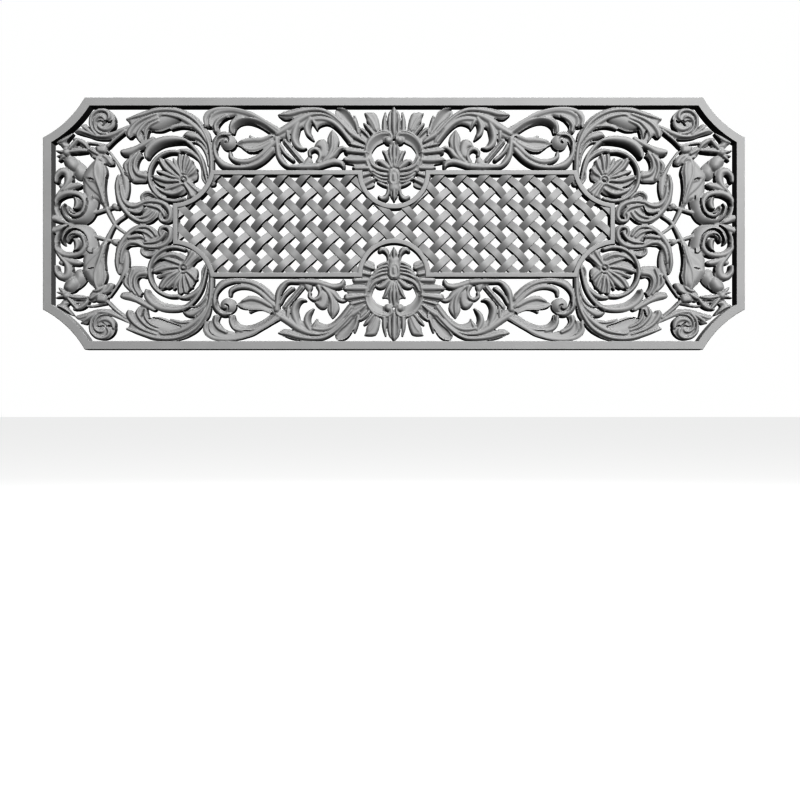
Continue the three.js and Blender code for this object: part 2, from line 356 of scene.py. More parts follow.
# A spiral bud in the corner, on two leaves, and the stem to it
corner_leaf = [
    boss(417, 147.5, 18.5, 12.5),
    facet(12, 15.6, 11, (410.5, 148.5, 2), (407.2, 153, 3.4), (409, 159, 3.6), (415, 162.3, 3.4),
          (424, 161.5, 3.2), (431.5, 155, 3), (433.5, 146, 2.8), (432, 137, 2.6), (426, 129, 2.4)),
    facet(11, 15.6, 11, (414, 149.5, 1.6), (417, 153.5, 2.8), (422.5, 153.3, 2.8),
          (427.4, 149, 2.6), (428.4, 142, 2.4), (425.5, 134.5, 2.4), (419, 130, 2.2),
          (410, 129, 2)),
    facet(11.5, 14.5, 10, (421.5, 145, 1.6), (422.4, 140.5, 2.6), (418, 137, 3.6),
          (410, 136.5, 4.4), (403.5, 141, 4.2), (401.5, 148, 3)),
    groove((413, 148, 1), (416.5, 145.8, 1.2), (420.8, 147.6, 1.2), (424.3, 146.3, 1)),
    cleft((416.5, 141, 0.8), (413.5, 144.5, 1.2), (411.3, 146.7, 1.1), (407.5, 145.7, 1),
          (404.2, 147.5, 0.8)),
    pad(8.8, 12, 4, (378, 142), (391.7, 136.7), (405, 131.5), (420, 129), (432, 133), (437, 140),
        (442, 143.8), (448.3, 142), (448.3, 142), (445, 137.5), (451, 137), (457.3, 131.7),
        (457.3, 131.7), (450, 129), (438, 125.8), (429, 122.5), (416.7, 121), (400, 122.5),
        (388, 131), (378, 138)),
    facet(9.5, 14.6, 12.5, (421, 127, 2), (431, 130.5, 2.6), (440, 136.8, 2.8), (447.6, 141.6, 1)),
    facet(12.5, 14.2, 9.5, (380, 139.5, 2), (395, 131, 3.6), (410, 125.5, 3.4), (425, 125.5, 2.6),
          (440, 130.5, 2.8), (450, 133.5, 2.4), (456.5, 132, 0.8)),
    facet(10.5, 15, 10.5, (409.5, 111.5, 2.3), (400, 121, 2.3), (384, 134, 2.3)),
    rod((438, 117, 1.6), (429, 116.5, 1.6), (410, 113, 1.6)),
]
# The calyx of that bud, where the stems meet
calyx = [
    pad(11, 15.5, 5, (427, 110), (423, 112.6), (413, 112.8), (410, 108), (411, 102), (417, 100.3),
        (425, 102.5)),
    pad(8, 12, 5, (437.5, 108.5), (433.5, 111.5), (428, 110), (420, 106), (413, 101), (404, 95),
        (401.5, 86), (408, 84), (414, 86.5), (418, 90), (428, 93), (434, 97), (437, 103)),
    facet(12, 15, 10, (436.5, 107.5, 1.5), (433.5, 106.5, 3), (429, 104, 3.6), (424, 101, 3)),
    facet(11, 15.5, 12, (429, 95.5, 2), (423.5, 94.8, 2.6), (419, 92, 2.6), (415, 88, 1)),
    facet(10.5, 13.5, 9.5, (415, 98, 3), (410, 95, 4), (406, 89.5, 4.2), (404, 86, 2)),
]
# The flower by the hollow corner: petals, spikes and two round fruits
corner_flower = [
    boss(468.5, 102.3, 6.4, 16.8),
    leaf((472, 103, 3.2), (478, 104, 2), (484, 105.5, 0.6)),
    leaf((472, 99, 3.2), (482.5, 97.5, 0.6)),
    leaf((472, 97, 3.2), (477, 93.5, 2), (480, 90.5, 0.6)),
    facet(10.5, 15.2, 10, (466, 106, 2.6), (459.5, 113.5, 3.8), (453, 121, 2.8)),
    facet(10, 14, 10.5, (457, 121.5, 2.4), (449, 119, 3.8), (442, 114.3, 3.6), (437.5, 108, 2)),
    pad(7, 8, 2, (462, 106), (455, 112), (447, 114), (440, 109), (440, 104), (455, 103)),
    facet(10, 15.2, 12, (464, 102.8, 2.8), (452, 104.6, 3.8), (441, 104.6, 2.4)),
    pad(6, 12, 12, (456, 93), (449, 90), (443, 84), (439.5, 76), (442, 68), (449, 63.8),
        (456, 65.5), (460, 72), (462, 80)),
    pad(9.5, 16.2, 10, (466, 98.5), (458, 97), (452.5, 91), (450.5, 84), (453, 77.5), (459, 75),
        (466, 77.5), (471, 84), (473, 92)),
    pad(8.5, 12.5, 7, (483.2, 117.5), (478, 113), (473, 108), (466, 110), (463, 113),
        (468.5, 117.5), (461, 127.5), (460, 131), (470, 126.5), (478, 122)),
    facet(12, 15, 9.5, (480, 117.5, 2), (474, 119.5, 2.6), (467, 124, 2.4), (461.5, 129.5, 1)),
]
# A curled leaf over the end scroll
curl = [
    band((483.7, 61, 3), (482.5, 69, 4), (476, 75.5, 5), (468, 74, 6), (465.5, 66, 6),
         (468, 57, 4.5), (475, 49, 3), (481, 41, 2.5), (484, 35, 2)),
    boss(476, 55, 3.4, 13.5),
    leaf((472, 49, 4), (462, 53.5, 5.2), (453, 55.5, 4.5), (448.5, 56, 2)),
    leaf((489, 9, 5), (480, 7, 5), (470, 4, 3)),
]
# The end scroll, ribs in a spiral round an open eye
end_volute = [
    facet(15.5, 13.6, 7.5, (431, 33, 7.5), (431.5, 25, 6.5), (434, 16, 6.5), (441, 7.5, 6.5),
          (452, 3.4, 5), (463, 4.2, 5), (471, 10, 4.2), (474.6, 18, 3.4), (475, 25, 2.6),
          (472.5, 29.5, 1)),
    facet(11, 15.5, 12, (483.5, 27, 2), (482, 36, 4), (472, 43, 4.8), (460, 44.3, 4.6),
          (449, 41.3, 4.6), (442.5, 33, 4.4), (442.7, 24, 4.4), (447, 15.8, 4.3), (455, 13, 4.6),
          (462.5, 15.7, 4.2), (466.3, 21.5, 3.4), (467, 26.5, 1)),
    facet(9.5, 16.5, 9.5, (457, 39, 2.2), (453.5, 35, 4.6), (452.5, 29, 5.6), (454, 24, 4.8),
          (458, 21.5, 2.5)),
    facet(13, 12.5, 9, (484, 34, 1.5), (483.6, 27, 2.4), (482, 18, 2.6), (477, 9, 2.6),
          (469, 3.2, 2.4), (460, 0.5, 2)),
    leaf((486, 11, 2.5), (482, 7, 4.6), (475, 3.2, 3.2), (466, 0.8, 1.5)),
    cleft((438, 36, 0.8), (438.3, 28, 1.5), (441.2, 17.8, 1.7), (448, 10.7, 1.7), (456.7, 8, 1.7),
          (464, 10.5, 1.6), (468.3, 15.7, 1.4), (469.8, 22, 0.8)),
    cleft((459, 40, 0.7), (451, 37.5, 1.2), (447, 30.7, 1.4), (447.7, 24, 1.4), (451.5, 19.8, 1.4),
          (457, 19.4, 1.3), (461, 22.5, 0.8)),
    cleft((480.5, 28, 0.8), (479, 18, 1.2), (474, 9, 1.2), (466, 2.5, 0.8)),
    groove((464, 24, 0.9), (464.4, 20, 1), (461, 15.7, 1), (456, 14.7, 0.8)),
]
# The long furled bud beside the scroll, on crossed stems
tulip = [
    pad(9, 12.4, 6, (423, 94), (431, 89), (439, 80), (444.5, 68), (445.6, 56), (444, 44),
        (439, 35), (431, 34), (424, 33), (418, 27), (411, 27), (413, 41), (413.8, 53), (412.5, 66),
        (411, 75), (415, 87)),
    pad(10.5, 14, 4, (423, 94), (431, 88), (439, 78), (444, 68), (442.5, 60), (436.7, 51.5),
        (429, 44), (422.5, 38), (419.5, 32), (415, 25), (411.5, 27), (413.5, 41), (414, 53),
        (413, 66), (411.8, 75), (415.5, 87)),
    pad(12, 16.2, 8, (423, 93), (431, 87), (438, 77), (443, 67), (440, 62.5), (436.7, 59),
        (430, 56.5), (426.7, 52), (423, 45), (419, 36), (414, 27), (412, 28), (414, 41),
        (414.5, 53), (413.5, 66), (412.5, 75), (416, 87)),
    facet(14.4, 17.2, 14.8, (424, 92, 1.6), (427, 81, 3), (426.5, 69, 3.4), (422, 56, 3.2),
          (418, 43, 2.4), (415, 32, 1.4)),
    facet(13.6, 16.4, 12.4, (417, 87, 1.6), (416, 75, 2.4), (417, 61, 2.4), (416.5, 46, 1.8)),
    groove((436.5, 64.2, 0.9), (433.5, 64.2, 1.3), (429.5, 63, 1)),
    rod((415, 29, 3.5), (400, 0, 2.3), (385, -12.5, 2.3)),
    rod((428, 17, 3), (404, 24, 2.3), (395, 23, 2.3)),
    boss(399.5, 25.5, 4.5, 14),
]
# The acanthus by the panel's middle height, with a rolled tip and a side leaf
end_stem = [
    rod((408, 104, 1.5), (400, 93, 1.6), (391, 78, 2.2), (385.5, 66, 4.7), (384, 55, 4.8),
        (383.7, 46, 3.8), (383, 37, 1)),
    pad(9, 11.6, 3, (394, 72), (397.5, 66), (399.6, 54), (398.3, 45), (396.7, 32), (391.7, 23),
        (385.8, 16), (379, 8), (371.7, 3), (363, 0.4), (356.7, 0.2), (348, 2.3), (342.5, 6.5),
        (338, 9.8), (336, 4.8), (329, 1), (322.5, 1.5), (317, 6), (317, 22), (323, 29), (329, 33),
        (335, 35.7), (350, 35.9), (357, 35), (366.7, 30.9), (372.5, 31), (379, 32), (384, 37),
        (387, 48), (389, 60), (391, 69)),
    fold((394, 69, 1.4), (396, 56, 3), (395, 43, 3.4), (391.5, 31, 4), (384.5, 20, 4),
         (375, 10.5, 4), (364, 4.4, 3), (353, 4.4, 2.6), (345, 9.6, 2.8), (340.5, 16, 2.4)),
    fold((391, 55, 2), (389.3, 43, 3), (385.5, 33, 3.6), (378, 26.6, 3.8), (368, 26.6, 3.6),
         (359, 31, 2.6)),
    facet(11, 15, 11.6, (366, 29, 2), (352, 32.4, 3), (338, 32, 3.6), (327, 27.5, 4),
          (321, 19, 3.8), (320.5, 10, 3.6), (325, 4.4, 3.2), (332.5, 5.3, 3), (335, 11, 2.8),
          (333, 16.5, 2.2)),
    fold((357, 27, 1.8), (346, 26, 3), (336, 22.5, 3), (329.5, 15, 2.6), (328, 10, 1.6)),
    fold((379, 19.5, 3), (369, 17.4, 4), (360, 18, 3.2), (354.5, 23, 2.2)),
    fold((372, 9.4, 2), (362, 9.6, 2.6), (353, 12.6, 2.6), (346, 18.5, 2)),
    cleft((357, 25, 0.7), (358.6, 18, 1.2), (363.5, 13.4, 1.3), (371, 12.6, 1.1), (376, 15, 0.7)),
    cleft((332, 24.5, 0.7), (326.5, 18, 1.2), (325, 11, 1.3), (329, 8, 1)),
    pad(8, 8.6, 2, (363, 36.5), (362.5, 41.5), (358, 46.5), (353, 47.8), (346.7, 46.5),
        (341.7, 42), (336, 37), (345, 33), (356, 32)),
    leaf((361, 35, 1.8), (360.3, 41.5, 2.2), (354, 45.4, 2.4), (346.5, 44, 2.4), (339, 38, 2.2)),
]
# A ring round a shell of pleated leaves on a forked stem
end_flower = [
    ring(314.7, 68.4, 35.4, 3.2, -113, 100),
    pad(9, 11.5, 5, (325.7, 92.5), (334, 94.8), (337.3, 92), (335.4, 84), (330.8, 78), (330.8, 78),
        (339, 76.6), (338.5, 73), (330, 69), (330, 69), (349, 69), (349, 61), (345, 50), (337, 42),
        (329, 37), (329, 37), (321, 41), (306.4, 41), (298.2, 45), (292, 52), (289, 60),
        (283, 63.6), (281.4, 71.7), (284, 81), (289, 90.1), (295.2, 96.2), (303, 98.5),
        (309, 98.5), (311, 91), (315.6, 95), (317, 90), (320, 92)),
    facet(13, 15.8, 10.5, (309, 67.5, 2), (318, 72.8, 3.2), (327, 79.8, 3.8), (333.5, 89.5, 3.4)),
    facet(12, 16.4, 13, (305.5, 70, 2), (315.5, 82, 4), (324, 90.5, 3.2)),
    fold((304.5, 72.5, 1.6), (311.8, 85, 2.6), (315.4, 94, 1)),
    fold((303.5, 73, 1.8), (306.5, 86, 2.8), (306, 98, 2.6)),
    fold((301, 73, 2), (300, 86, 3), (298, 97, 3)),
    fold((298, 72, 2), (293, 82, 3.2), (290.5, 90, 2.6)),
    fold((295, 68, 2), (287.5, 74, 3.6), (284, 79, 2.4)),
    facet(14, 15.6, 9, (309, 65.5, 2), (321.7, 68.4, 3), (338, 74.8, 2)),
    facet(12.5, 15.8, 8.5, (309, 61, 2.6), (325.7, 61.5, 4.8), (342, 66.6, 4.2)),
    fold((306, 57, 2.4), (315.5, 53.2, 3), (327, 49.5, 2.6)),
    facet(13, 15, 9, (301, 49.5, 2.4), (310, 44, 3.4), (320, 42.6, 3.8), (332, 46.5, 3),
          (341, 54, 1.6)),
    cleft((345.6, 63, 1), (341.5, 57.5, 2.2), (335.5, 53.2, 2.2), (328, 52, 1)),
    pad(10, 13.5, 3, (304, 58), (299, 50), (295.4, 43), (296, 36), (288, 38), (281, 43),
        (275.8, 49), (283, 54), (288, 60), (293, 65)),
    facet(11, 16, 13, (299.5, 57, 2.6), (293, 47.5, 3), (289.5, 40.5, 4.4)),
    facet(13, 16, 11, (293.5, 59.5, 2.4), (287, 53, 2.6), (279.5, 46.5, 2.8)),
    ring(301.2, 63, 6, 2.2),
    boss(301.2, 63, 3.4, 17),
]
# The large acanthus leaf over the ring, and its side leaves
top_leaf = [
    pad(9.5, 12.4, 4, (256, 57), (257.5, 77), (258, 93), (260, 111), (263.6, 129), (268, 137),
        (280, 152), (291.7, 160), (304, 165), (317, 167.5), (342, 166.7), (360, 160),
        (383.3, 150.8), (383.3, 150.8), (378.5, 142), (384, 129), (378, 122.5), (371.7, 127),
        (366.7, 121), (360, 116), (354.6, 119), (350.5, 134), (343, 132.8), (332, 133), (321, 137),
        (319, 135), (319, 135), (303, 138), (287, 135), (278, 129), (270, 120), (265.5, 105),
        (265, 77), (265, 57)),
    fold((261, 60, 3), (261.5, 93, 3.2), (264, 112, 3.2), (270.5, 130, 3), (283, 147.5, 3.4),
         (300, 158.5, 3.4), (318, 163.3, 3.4), (340, 162.6, 3.6), (362, 156, 3.6),
         (381.5, 149.7, 1.6)),
    fold((267, 116, 1.8), (276, 131, 4), (290, 143.5, 4.6), (305, 152, 4.2), (320, 155.8, 3),
         (331, 156.6, 2.6), (335, 154, 1.6)),
    hollow(0, 1.6, 6, (308, 148.5, 3.6), (318, 147.6, 5.6), (328, 145, 6.6), (338, 141.2, 6.4),
           (347, 137.6, 4)),
    facet(11, 12.6, 11, (349, 135, 1), (340, 133.8, 1.1), (331, 135, 1.1), (322, 138.4, 1.1),
          (312, 142, 1)),
    fold((284, 138.5, 2.4), (300, 140.6, 2.4), (311, 139.3, 2.2), (319, 136.2, 0.8)),
    fold((340, 157.5, 2), (358, 150.5, 3.2), (370, 142.5, 3.6), (378, 132, 4.4), (379, 126, 3.2)),
    fold((338, 152, 2), (352, 146, 3), (362, 136, 3.4), (366.5, 127, 3), (364, 119.5, 1.6)),
    fold((337, 147.5, 2), (348, 142, 2.8), (355, 133, 2.8), (356.3, 122, 1.8)),
    cleft((361, 132.5, 0.7), (359, 128, 1.4), (357.8, 123, 1)),
    pad(9, 14, 5, (303, 126), (303, 126), (297.5, 132.5), (290, 134), (284, 132), (277, 127),
        (270, 119), (265, 107), (268, 100), (272, 111), (281, 119), (291, 121.5)),
    leaf((268, 57, 1.8), (274, 66, 1.4), (274.5, 78, 1.4), (277.5, 90, 2.5), (286, 99.5, 3.8),
         (296, 104.5, 3.8), (305, 105.5, 2.5)),
    facet(8, 14.6, 13, (302, 121, 3.4), (292, 114, 3.8), (282.5, 103.5, 3.6), (275.5, 91, 3.2),
          (271.5, 76, 3), (268, 60, 2.6)),
    leaf((291, 118.5, 1), (281, 116.5, 1.8), (273, 109, 2.4), (267.5, 98, 2.2), (265, 84, 2)),
]
# The hollow-backed leaf under the large one, with three pleated lobes
lower_leaf = [
    facet(13, 15, 5, (294, 117, 2.6), (306, 120, 5), (320, 120, 6.2), (333, 117.6, 6.8),
          (344, 111.5, 6.8), (351.5, 102.6, 5.6), (353, 95.5, 3)),
    facet(12.5, 15, 9, (344, 121, 4), (356, 114, 4.6), (366, 108.5, 4.6), (377, 103, 6.2),
          (386.5, 102, 5)),
    pad(9, 12, 4, (360, 98), (368, 104), (381, 93.5), (388.8, 83), (384, 75), (381, 66), (375, 60),
        (366, 59.6), (354, 61.5), (354, 76.6), (362.5, 76), (367, 80), (366.5, 88), (363, 95)),
    fold((364, 102, 2), (370, 91, 2.8), (371, 80, 3), (366, 72, 4), (356, 69.5, 5)),
    fold((370, 100, 2), (377, 89, 2.8), (378, 77, 2.6), (374, 65, 2.6)),
    fold((376, 95, 2), (384, 84.5, 2.8), (382, 73, 1.8)),
]
# The broad leaf from the volute to the crossing, hollow along its lower side
scroll = [
    pad(9.5, 12.4, 4, (272.7, 150), (272, 154.5), (268, 160.5), (260, 165), (249, 167.3),
        (235.5, 167.3), (222, 165.5), (203, 160), (190, 152.7), (176, 144.5), (160, 134),
        (165, 124), (174.5, 132), (190, 143), (199, 147.2), (208, 149.4), (217, 149.6),
        (225.5, 146.5), (229, 139), (229.5, 129), (229.5, 129), (236, 131), (235.5, 138),
        (231, 149), (227, 154.5), (232, 153.6), (241, 151), (248, 144.5), (251, 139), (249, 133),
        (251, 130), (257, 130.5), (260, 134.5), (261, 138), (266, 138), (270.5, 141)),
    facet(9.5, 14.6, 14, (267.5, 141.5, 3), (268, 151, 4.2), (260, 160, 4.4), (246, 163.4, 3.8),
          (230, 163.2, 3.4), (215, 160.3, 3.4), (199, 153.5, 3.4), (182, 143.8, 3.2),
          (166, 133.5, 3)),
    facet(9, 12, 14.5, (259, 143, 3.6), (258, 151, 4.2), (248, 157, 4), (232, 158.6, 3.4),
          (216, 155.5, 3.6), (200, 149.5, 3.4), (184, 140, 3), (168, 130, 3)),
    fold((254.5, 133, 3), (255.5, 141, 3.4), (250, 149, 3.6), (240, 154.5, 3)),
    fold((233, 132, 2.2), (233, 140, 3), (228.5, 149, 2.6), (217, 153.4, 2)),
    facet(5, 10.4, 14.4, (229.8, 130.5, 1.4), (228, 139.5, 3), (221, 145.8, 3.6),
          (210, 147.8, 3.6), (198, 145.4, 3.8), (186, 139.6, 3.8), (172, 129.5, 3.4)),
]
# The volute, its round eye, and the pointed leaf beside it
volute = [
    facet(9, 14.8, 12.5, (236, 129, 3.4), (245, 128.5, 4.8), (253, 122, 5), (257, 113, 4.8),
          (257, 103, 3.6), (253, 93.5, 4.4), (244, 84.5, 5.4), (229, 80.8, 4), (213, 81, 3.8),
          (199, 84.6, 4), (186, 92.6, 4.2), (173, 105.6, 4.2)),
    facet(11, 15, 12.5, (234.5, 103, 1.8), (233, 95, 3.2), (224, 90, 3.8), (212, 89, 4.2),
          (201, 92, 4), (190, 98.6, 4), (178, 109.5, 4), (168, 118.5, 3.4)),
    boss(237, 117, 11.5, 16.8),
    hollow(0, 4.5, 0, (252, 108.5, 1.2), (252.4, 115, 2.4), (249.6, 121.4, 3), (244, 124.2, 3),
           (238.4, 122.4, 2.8), (237.4, 118, 2.2), (240.6, 115.4, 1.4)),
    pad(8.5, 12.5, 5, (226, 114.5), (226, 114.5), (221, 120), (213.6, 122), (208, 122.5),
        (206.4, 128), (206.4, 128), (200, 124.8), (192, 123), (183, 125), (172, 130), (165, 122),
        (181, 111), (194.5, 104), (203.6, 102.5), (210, 103.6), (215.5, 108), (221, 112)),
    facet(9.5, 14, 14.6, (223, 114.6, 1), (213, 117, 3.4), (202, 118.2, 4), (190, 118.6, 4),
          (178, 123, 4)),
    facet(14, 14.6, 8.5, (221, 113.8, 1), (212, 109.5, 3.6), (202, 108.2, 4.4), (190, 111.5, 4.4),
          (178, 118, 4)),
    leaf((206, 126, 1.5), (200, 121, 3), (190, 120, 3)),
]
# The arched leaf from the crossing to the fan, with hanging leaves
arch = [
    pad(9.5, 12.4, 4, (172, 124), (162, 135.5), (150, 144.5), (138, 153.5), (147, 150.6),
        (158, 150), (166, 156), (166, 156), (156, 161.5), (144, 165.6), (125, 167.4), (104, 166.5),
        (95, 162.5), (86, 157), (79, 151), (72.5, 144), (65, 136), (58, 127), (58, 108),
        (65, 118.8), (72.5, 128.8), (80, 136.9), (90, 141.3), (97.5, 143), (106.3, 140),
        (110, 135.6), (110, 135.6), (114.4, 143.8), (122, 143), (135, 136), (150, 128),
        (160, 122)),
    facet(11.8, 15.6, 12.2, (164, 156, 1.5), (150, 157.3, 4), (136, 161, 4.2), (118, 163.4, 3.4),
          (103, 162.6, 3.4), (90, 156.6, 3.2), (77, 146, 3.2), (62, 130, 3.4)),
    fold((166, 130, 4.5), (150, 139.5, 5.6), (136, 149, 5.6), (122, 155.4, 4.2), (108, 157.4, 2.6),
         (95, 155, 2.2), (84, 148.5, 2), (72, 137, 2)),
    facet(8, 14.2, 12.4, (119, 148, 2.5), (109, 149.3, 3.8), (98, 148.8, 4.4), (87, 144.3, 4.4),
          (76, 134.5, 4.2), (63, 118, 4)),
    leaf((116, 149, 4), (112.3, 142, 2.6), (110, 136, 1)),
    facet(12, 14.4, 8, (119, 151, 4), (124, 140, 5), (123, 131.5, 4.4), (119, 125.3, 3),
          (115.4, 121, 1.2)),
    facet(12, 14.6, 8, (135, 147, 4), (140.5, 134, 5.6), (142.3, 122.5, 5.6), (138.3, 113.3, 4.8),
          (132, 108.9, 3.4), (126.5, 109.4, 1.6)),
    leaf((152, 132, 4), (151.5, 122, 2.5), (150, 117.5, 1)),
]
# The stem under the arch, and its flower
lower_curl = [
    band((168, 122, 5), (167, 112, 4), (165, 99, 4.5), (160, 90, 4.5), (152, 83, 3.5),
         (140, 82, 4), (125, 82, 4.5), (110, 83, 5)),
    facet(11, 14.5, 8.5, (118, 83, 4), (108, 84, 5), (97, 87.5, 5), (86, 90, 5), (76, 88, 4.5),
          (72.5, 83, 3), (72.3, 78.5, 1)),
    leaf((163, 113, 3), (158, 104, 3), (152, 97.5, 3), (145, 92, 3)),
    facet(8.5, 13.5, 10.5, (104, 88, 3), (94, 93, 4), (86, 99, 4.5), (80, 106, 3.8),
          (73.5, 109.3, 3), (67, 107.5, 1.5)),
    rod((156, 119, 4), (132, 90, 4)),
    leaf((156, 119, 2.3), (132, 90, 2.3)),
    leaf((120.5, 98.5, 2.4), (120.5, 104, 2.8), (114, 107.8, 3.4), (107.5, 104.5, 3.4),
         (105.3, 97, 3), (108, 89, 4)),
    pad(9.5, 12.5, 4, (122, 98), (122, 98), (118, 94), (117, 88), (124, 83), (132, 83), (128, 91)),
    pad(9.5, 13.5, 5, (114, 111), (110, 118.5), (104, 122), (98, 120.5), (94, 113), (93, 103),
        (96, 96), (103, 93), (108, 99), (107, 108)),
    pad(9.5, 12, 3, (88.5, 135.5), (88.5, 135.5), (83, 130), (79, 123), (79, 116), (82, 108),
        (88, 99), (97, 90), (106, 85), (103, 93), (97, 101), (94, 110), (95.5, 121), (93, 129)),
    leaf((88.5, 134, 1), (88, 122, 4), (88.5, 110, 4), (93, 99, 4), (101, 90, 3)),
]
# Half rosette: the collar with its small scroll, and the leaves inside it
collar = [
    pad(8.5, 9, 2, (5, 130), (10, 132.5), (22, 132.5), (33, 125), (39, 112), (40, 98), (37, 84),
        (31, 71), (22, 61), (11, 53), (10, 66), (10, 80), (22, 84), (29, 93), (32, 104), (27, 111),
        (15, 117.5), (5, 120)),
    facet(14, 10, 7.5, (9, 124.5, 4.5), (17, 123.5, 5.5), (25, 119.5, 5.5), (31.5, 112.5, 5),
          (35.5, 104, 4), (36, 96, 3.5), (34, 88, 3.5), (31, 80, 3)),
    facet(12, 16, 13.5, (5.5, 118, 2), (3.2, 122.5, 2.2), (4.2, 128, 2.2), (8.5, 131.6, 1.9),
          (15, 132.6, 1.8), (22, 131.3, 1.8), (29, 127.5, 1.8), (35, 120.5, 1.8), (39.3, 111, 1.8),
          (40.6, 100, 1.8), (39.2, 90, 1.8), (36.3, 82, 1.8), (33.4, 75.5, 1.2)),
    boss(8, 120, 6.2, 16.4),
    leaf((8, 81, 3.5), (15, 87, 4.8), (20.5, 90, 3.6), (24.8, 89, 2.2), (26, 86.3, 0.8)),
    leaf((36, 95, 2), (30, 84.5, 3.6), (20, 79.3, 3.4), (9, 77, 2.6)),
    leaf((33, 80, 2), (26, 74.3, 2.8), (18, 71.3, 2.5), (10, 70, 2)),
    leaf((30, 73, 1.8), (22.5, 68, 2.5), (17, 66, 2.2), (10, 65, 2)),
    leaf((27, 67, 1.6), (20.5, 62.6, 2.3), (16, 61, 2.1), (10, 60, 2)),
    leaf((23, 60.5, 1.6), (16.5, 57, 2.3), (10, 54.5, 2)),
]
# The palmette and the shield below it
palmette = [
    pad(9, 10, 3, (-5, 80), (5, 81), (10, 88), (13, 95.5), (14.5, 101), (17, 105.5), (17, 105.5),
        (11.5, 105.5), (8, 107), (7.6, 111), (4.5, 114.3), (0, 118), (0, 118), (-5, 114)),
    leaf((0, 84, 2), (0.2, 98, 3.2), (0, 110, 2.6), (0, 117, 0.8)),
    leaf((2, 82, 1.6), (4.6, 96, 2.6), (5.6, 106, 2), (5, 112.5, 1)),
    leaf((4, 82, 2), (9, 93.5, 3), (12.3, 101, 2.4), (15.8, 105, 1)),
    pad(8.5, 15, 9, (-5.5, 81.3), (0, 82), (5.5, 81.3), (9, 78.5), (10.6, 73), (10.4, 64),
        (10.2, 55), (10, 48), (5, 44), (0, 43), (-5, 44), (-10, 48), (-10.2, 55), (-10.4, 64),
        (-10.6, 73), (-9, 78.5)),
    facet(14, 17.5, 14, (0, 76, 1.4), (4.2, 74.6, 1.4), (6, 69, 1.4), (5.6, 63, 1.4),
          (3.4, 58, 1.4), (0, 57.6, 1.2)),
    facet(14, 17.2, 14, (0, 63.2, 2.6), (0, 69.7, 2.6)),
    facet(11, 15.5, 11, (0, 57, 1.4), (0, 47, 2.8), (0, 39.5, 3), (0, 33, 0.8)),
    leaf((5, 56, 1.6), (4.6, 50, 1.8), (4.3, 43, 1.6), (2.5, 38, 1)),
    facet(10, 15, 9, (8.4, 57.5, 1.8), (8, 50, 2.2), (9, 43, 3), (12.8, 37.4, 4.4),
          (17.5, 36.2, 4), (20.6, 38.6, 2.8)),
]
# Rays above the collar
upper_rays = [
    band((0, 124, 1.4), (0, 133, 3.4), (0, 150, 4.5), (0, 160, 4), (0, 168, 1.2)),
    leaf((6.2, 133, 2.6), (6.9, 148, 2.8), (5.6, 158, 2), (3, 163, 1)),
    leaf((13.6, 133, 4.3), (13.4, 148, 3.3), (12, 159.5, 1.3)),
    pad(10.5, 13.5, 4, (20, 135), (21, 146), (23, 152.5), (26.5, 158.7), (34, 160.2),
        (42.5, 159.5), (42.5, 159.5), (40, 153), (39, 147), (35, 141), (29, 132)),
    leaf((25, 134, 3), (31, 147, 3.8), (39, 157.5, 2)),
    leaf((30, 130, 3), (37, 138.5, 3.4), (42.5, 144.3, 1.4)),
    pad(9, 10, 2, (56, 128), (67, 139), (78, 149), (84, 159), (82, 165), (75, 166.7), (68, 164.5),
        (62, 158), (57, 148), (50, 134)),
    facet(14.5, 10.2, 8.2, (53.5, 130, 5), (63, 146, 6), (72, 157, 6.5), (79, 162.5, 3)),
    leaf((56, 128.5, 2.4), (67, 141.5, 2.4), (77.5, 151, 2.2), (82.5, 158, 1.8)),
    leaf((51, 131, 3), (54.5, 145, 3.2), (56.5, 154.5, 1.6)),
]
# Pleated fan beside the collar
fan = [
    pad(9.8, 10.6, 2, (34, 126), (43, 136.8), (50, 136), (60, 132), (62.5, 129), (62.5, 121),
        (60, 115.5), (64.4, 110.6), (68.8, 105), (65, 101), (70, 92.5), (68, 89.5), (60, 86),
        (56, 83), (53.8, 77), (48, 66), (40, 52), (28, 56), (33, 68), (38, 82), (41.5, 97),
        (39.5, 113)),
    facet(11.5, 14.8, 8.4, (34, 122, 2), (41.5, 130.5, 3.2), (48, 136, 3)),
    facet(11.8, 15.4, 8, (39, 114, 1.6), (49, 121, 4.6), (59.5, 127.5, 6.2)),
    facet(11.5, 14.8, 8.8, (40, 109, 2.2), (50, 111.3, 2.7), (61, 114, 3.2)),
    facet(11.8, 15.4, 8, (41, 101.5, 4), (54, 102.8, 4.6), (67, 104.5, 5)),
    facet(11.5, 14.8, 8.4, (40.5, 91, 5), (55, 90.8, 5.4), (69, 91.5, 4)),
    facet(11.8, 15, 8.2, (38, 79.5, 4), (46, 79.5, 4.6), (55, 79.5, 4.8)),
    facet(11.8, 15, 8.2, (35, 71.5, 3), (41, 70, 3.9), (48, 68, 4.8)),
    facet(11.8, 15, 8.2, (30, 63, 3), (36, 60.5, 4.2), (42, 57.5, 5)),
]
forms = sum([corner_leaf, calyx, corner_flower, curl, end_volute, tulip, end_stem, end_flower,
             top_leaf, lower_leaf, scroll, volute, arch, lower_curl, collar, palmette,
             upper_rays, fan], [])

# Fronts lie between the lowest and the highest. A line has a point every line_spacing and is
# never thinner than thinnest; a form narrower than full_width on each side is lower for it.
grid_step = 1.0
reach_u, reach_v = 492, 170
columns, rows = round(reach_u / grid_step), round(reach_v / grid_step)
grid_u, grid_v = np.meshgrid(np.arange(columns + 1) * grid_step, np.arange(rows + 1) * grid_step,
                             indexing="ij")
lowest, highest = 4.0, 17.2
line_spacing, thinnest = 2.0, 0.6
window_margin = 4.0
blend_reach = 1.5
full_width = 3
far = 99.0


